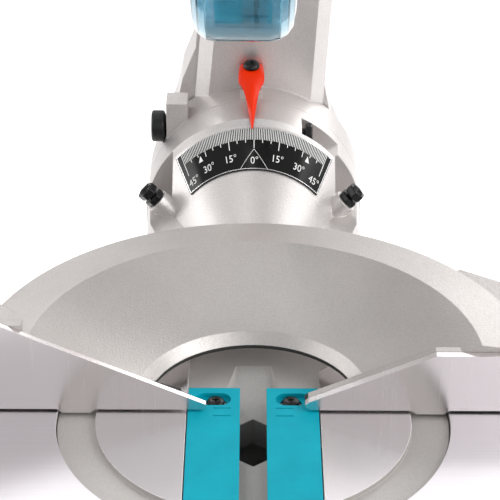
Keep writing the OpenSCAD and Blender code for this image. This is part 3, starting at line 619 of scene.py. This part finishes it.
def pointer():
    """Moulded pointer: a broad head that narrows to a ridge and a fine tip."""
    # y, middle x, half width, under side z, edge z, ridge z, half width of the ridge
    stations = [
        (278.0, -1.9, 7.6, 76.3, 86.6, 87.8, 5.4),
        (277.4, -1.9, 8.2, 76.1, 87.2, 88.4, 5.6),
        (271.0, -1.9, 8.6, 76.1, 87.4, 88.6, 5.8),
        (265.6, -1.9, 8.7, 76.3, 86.6, 88.2, 5.8),
        (262.8, -1.9, 8.6, 77.6, 84.2, 86.2, 5.2),
        (257.0, -1.8, 6.9, 80.9, 82.2, 84.9, 2.6),
        (250.0, -1.7, 4.7, 80.1, 80.6, 83.0, 1.0),
        (240.0, -1.5, 2.9, 75.0, 75.4, 77.4, 0.5),
        (231.0, -1.35, 1.6, 70.2, 70.5, 72.0, 0.3),
        (225.0, -1.3, 0.7, 67.0, 67.2, 67.9, 0.15),
        (223.8, -1.3, 0.25, 66.5, 66.6, 66.9, 0.08),
    ]
    rings = []
    for y, x, w, low, edge, top, ridge in stations:
        side = [(w, (low + edge) / 2), (w * 0.97, edge), (ridge, top)]
        pts = [(-w * 0.92, low), (0, low), (w * 0.92, low)] + side + [(0, top + 0.1)]
        pts += [(-px, pz) for px, pz in reversed(side)]
        rings.append([saw(x + px, y, pz) for px, pz in pts])
    return loft(rings)


pointer_piece = new_piece("bevel_pointer_moulded", *pointer(), "orange", "arm_body", slot="signal_orange")
subdivide(pointer_piece, 2)
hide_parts("bevel_pointer")
screw = pan_screw("pointer_screw_head", saw(-1.9, 269.5, 92.4), (0, -0.18, 1), 5.4, 3.6, "black_metal",
                  "arm_body", (2, 26))
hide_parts("pointer_screw")

# ---------- kerf insert screws ----------
KERF_SCREWS = ((-21, 18.4), (21, 18.4), (-21, -84), (21, -84))   # x and y, mm
heads = [pan_screw("kerf_screw_%d" % k, saw(x, y, -0.25), (0, 0, 1), 5.1, 2.5, "black_metal",
                   "turntable_body", (2.5, 13)) for k, (x, y) in enumerate(KERF_SCREWS)]
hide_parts("kerf_screws")

# ---------- release knob ----------
knob_outline = [(0, 31.0), (4, 31.0), (4, 9.6), (7.2, 9.6), (10.3, 8.2), (10.3, 0.9), (9.0, 0), (0, 0)]
knob_place = frame_at(saw(-67.4, 270, 46), (1, 0, 0))
knob = new_piece("release_knob", *lathe(rounded(knob_outline, 1.1)[::-1], knob_place, 56), "plastic",
                 "release_pin_body", slot="plastic_black")
sharp_by_angle(knob, 40)
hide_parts("release_pin")


# ---------- adjusting bolts ----------
def hex_rings(corner_r, z0, z1, chamfer):
    """Hexagonal prism with turned chamfers, as rings of (x, y, z) in mm."""
    turns = [math.radians(60 * j) for j in range(6)]
    rings = []
    edge = (z1 - z0) * 0.16
    for z, k in ((z0, 1 - chamfer), (z0 + edge, 1.0), (z1 - edge, 1.0), (z1, 1 - chamfer)):
        rings.append([(corner_r * k * math.cos(a), corner_r * k * math.sin(a), z) for a in turns])
    return rings


def adjusting_bolt(place, nut):
    """Hex head with a dished top, a shank with thread ridges and, if asked, a lock nut."""
    verts, faces = [], []

    def at(p):
        return place @ (Vector(p) * MM)

    def put(vs, fs):
        base = len(verts)
        verts.extend(vs)
        faces.extend(tuple(base + i for i in f) for f in fs)

    rings = [[at(p) for p in ring] for ring in hex_rings(6.4, 0, 5, 0.07)]
    put(*loft(rings, caps=False))
    put(rings[0], [tuple(reversed(range(6)))])
    dish = [(5.2, 5.0), (4.2, 4.6), (3.4, 3.2), (0, 3.0)]
    steps = 36
    ring_ids = []
    vs = list(rings[3])
    fs = []
    for r, z in dish:
        if r == 0:
            vs.append(at((0, 0, z)))
            ring_ids.append([len(vs) - 1])
        else:
            ring_ids.append([])
            for k in range(steps):
                a = 2 * math.pi * k / steps
                vs.append(at((r * math.cos(a), r * math.sin(a), z)))
                ring_ids[-1].append(len(vs) - 1)
    for k in range(6):
        first = ring_ids[0]
        span = [first[(k * 6 + j) % steps] for j in range(7)]
        fs.append(tuple([k, (k + 1) % 6] + span[::-1]))
    for a, b in zip(ring_ids, ring_ids[1:]):
        for k in range(steps):
            k2 = (k + 1) % steps
            fs.append((a[k], a[k2], b[0]) if len(b) == 1 else (a[k], a[k2], b[k2], b[k]))
    put(vs, fs)
    prof = [(0, -21.5), (2.6, -21.5)]
    z = -21.0
    while z < -0.8:
        prof += [(3.0, z), (2.55, z + 0.5)]
        z += 1.0
    prof += [(2.9, 0.2), (0, 0.2)]
    put(*lathe(prof, place, 24))
    if nut:
        put(*loft([[at(p) for p in ring] for ring in hex_rings(6.6, -5.4, -1.4, 0.08)]))
    return verts, faces


def turned_about(degrees, axis):
    return Matrix.Rotation(math.radians(degrees), 4, axis)


for side, tag in ((-1, "left"), (1, "right")):
    place = (Matrix.Translation(saw(side * 64 - 1.5, 206, 29)) @ turned_about(45 * side, "Y")
             @ turned_about(12, "Z"))
    bolt = new_piece("stop_bolt_" + tag, *adjusting_bolt(place, True), "black_metal", "turntable_body", False,
                     "bolt_black")
    edges(bolt, 0.25, 2, 30)
    if tag == "left":
        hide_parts("stop_bolts")
place = (Matrix.Translation(saw(33, 239, 57.2)) @ turned_about(90, "Y") @ turned_about(30, "Z")
         @ Matrix.Diagonal((0.92, 0.92, 0.88, 1)))
zero_bolt = new_piece("zero_stop_bolt", *adjusting_bolt(place, False), "black_metal", "turntable_body", False,
                      "bolt_black")
edges(zero_bolt, 0.25, 2, 30)

# ---------- head ----------
RAISE = Matrix.Translation(PIVOT) @ Matrix.Rotation(-CHOP, 4, "X") @ Matrix.Translation(-PIVOT)
ARBOR_SAW = (-30.0, 114.0)   # y and z of the arbor with the head down, mm
GUARD_SCREW_R = 121


def head(x, y, z):
    """A point of the raised head, from millimetres in the saw's frame with the head down."""
    return RAISE @ saw(x, y, z)


def motor_cap_screws():
    """Three screws in the flat end of the motor's cap."""
    joint = JOINTS["armature_spin"]
    origin = Vector(joint["pos_m"])
    cap = NODES["motor_end_cap"]
    axis = Vector(joint["axis"]).normalized()
    middle = sum((v.co for v in cap.data.vertices), Vector()) / len(cap.data.vertices)
    if (middle - origin).dot(axis) < 0:
        axis = -axis
    end = max((v.co - origin).dot(axis) for v in cap.data.vertices)
    plane = frame_at(origin + axis * end, axis)
    for k in range(3):
        a = math.radians(120 * k + 30)
        spot = plane @ Vector((12.5 * MM * math.cos(a), 12.5 * MM * math.sin(a), 1.4 * MM))
        pan_screw("motor_cap_screw_%d" % k, spot, axis, 3.4, 2.4, "black_metal", "head_body", (1.6, 3))


motor_cap_screws()
for k, degrees in enumerate((48, 88, 128, 164)):
    a = math.radians(degrees)
    spot = head(-36.2, ARBOR_SAW[0] + GUARD_SCREW_R * math.cos(a), ARBOR_SAW[1] + GUARD_SCREW_R * math.sin(a))
    pan_screw("guard_screw_%d" % k, spot, (-1, 0, 0), 4.2, 2.6, "black_metal", "head_body", (2, 2))
# nodes whose sharp edges are rounded, and by how many mm
ROUNDED = {"handle": 3.2, "carry_handle": 2.6, "trigger": 1.0, "mitre_grip": 1.0, "bevel_lever": 1.0,
           "detent_lever": 1.0}
for name, width in ROUNDED.items():
    edges(NODES[name], width, 3, 40)

# ---------- camera, floor and light ----------
scene = bpy.context.scene
cam_data = bpy.data.cameras.new("camera")
cam = bpy.data.objects.new("camera", cam_data)
scene.collection.objects.link(cam)
cam.location = saw(-2.25, -880.3, 610.0)
# tilted up from straight down, then rolled by a quarter of a degree
cam_turn = Matrix.Rotation(math.radians(60.23), 3, "X") @ Matrix.Rotation(0.0048, 3, "Z")
cam.rotation_euler = cam_turn.to_euler()
cam_data.lens = 139.7
cam_data.sensor_width = 36.0
cam_data.clip_end = 50
scene.camera = cam

bpy.ops.mesh.primitive_plane_add(size=24, location=(0, 0, -0.0005))
floor = bpy.context.object
floor.name = "floor"
n = Net("floor_pale")
n.set(Base_Color=tint(n, (0.93, 0.93, 0.93), 0.01, 3), Roughness=0.8)
n.set(Emission_Color=(1, 1, 1, 1), Emission_Strength=0.35)
floor.data.materials.append(n.mat)

world = bpy.data.worlds.new("studio")
scene.world = world
world.use_nodes = True
world.node_tree.nodes["Background"].inputs[0].default_value = (1, 1, 1, 1)
world.node_tree.nodes["Background"].inputs[1].default_value = 0.66


def area_light(name, loc, target, size, power):
    d = bpy.data.lights.new(name, "AREA")
    d.shape = "RECTANGLE"
    d.size, d.size_y = size
    d.energy = power
    o = bpy.data.objects.new(name, d)
    scene.collection.objects.link(o)
    o.location = loc
    o.rotation_euler = (Vector(target) - Vector(loc)).to_track_quat("-Z", "Y").to_euler()


area_light("softbox_left", (-2.4, -0.4, 2.5), SAW, (1.2, 1.8), 13)
area_light("softbox_right", (2.2, -0.6, 2.4), SAW, (1.6, 1.6), 30)
area_light("softbox_back", (2.0, 2.7, 2.35), SAW, (3.2, 2.4), 58)
area_light("softbox_front", (1.9, -2.6, 2.3), SAW, (2.2, 1.8), 30)
area_light("softbox_top", (-0.3, 0.3, 3.4), SAW, (1.2, 0.8), 4)
area_light("strip_back_left", (-0.75, 2.6, 2.9), SAW, (0.16, 1.8), 9)
area_light("strip_side_left", (-2.5, 0.9, 1.5), SAW, (0.7, 1.6), 14)

scene.view_settings.view_transform = "Standard"
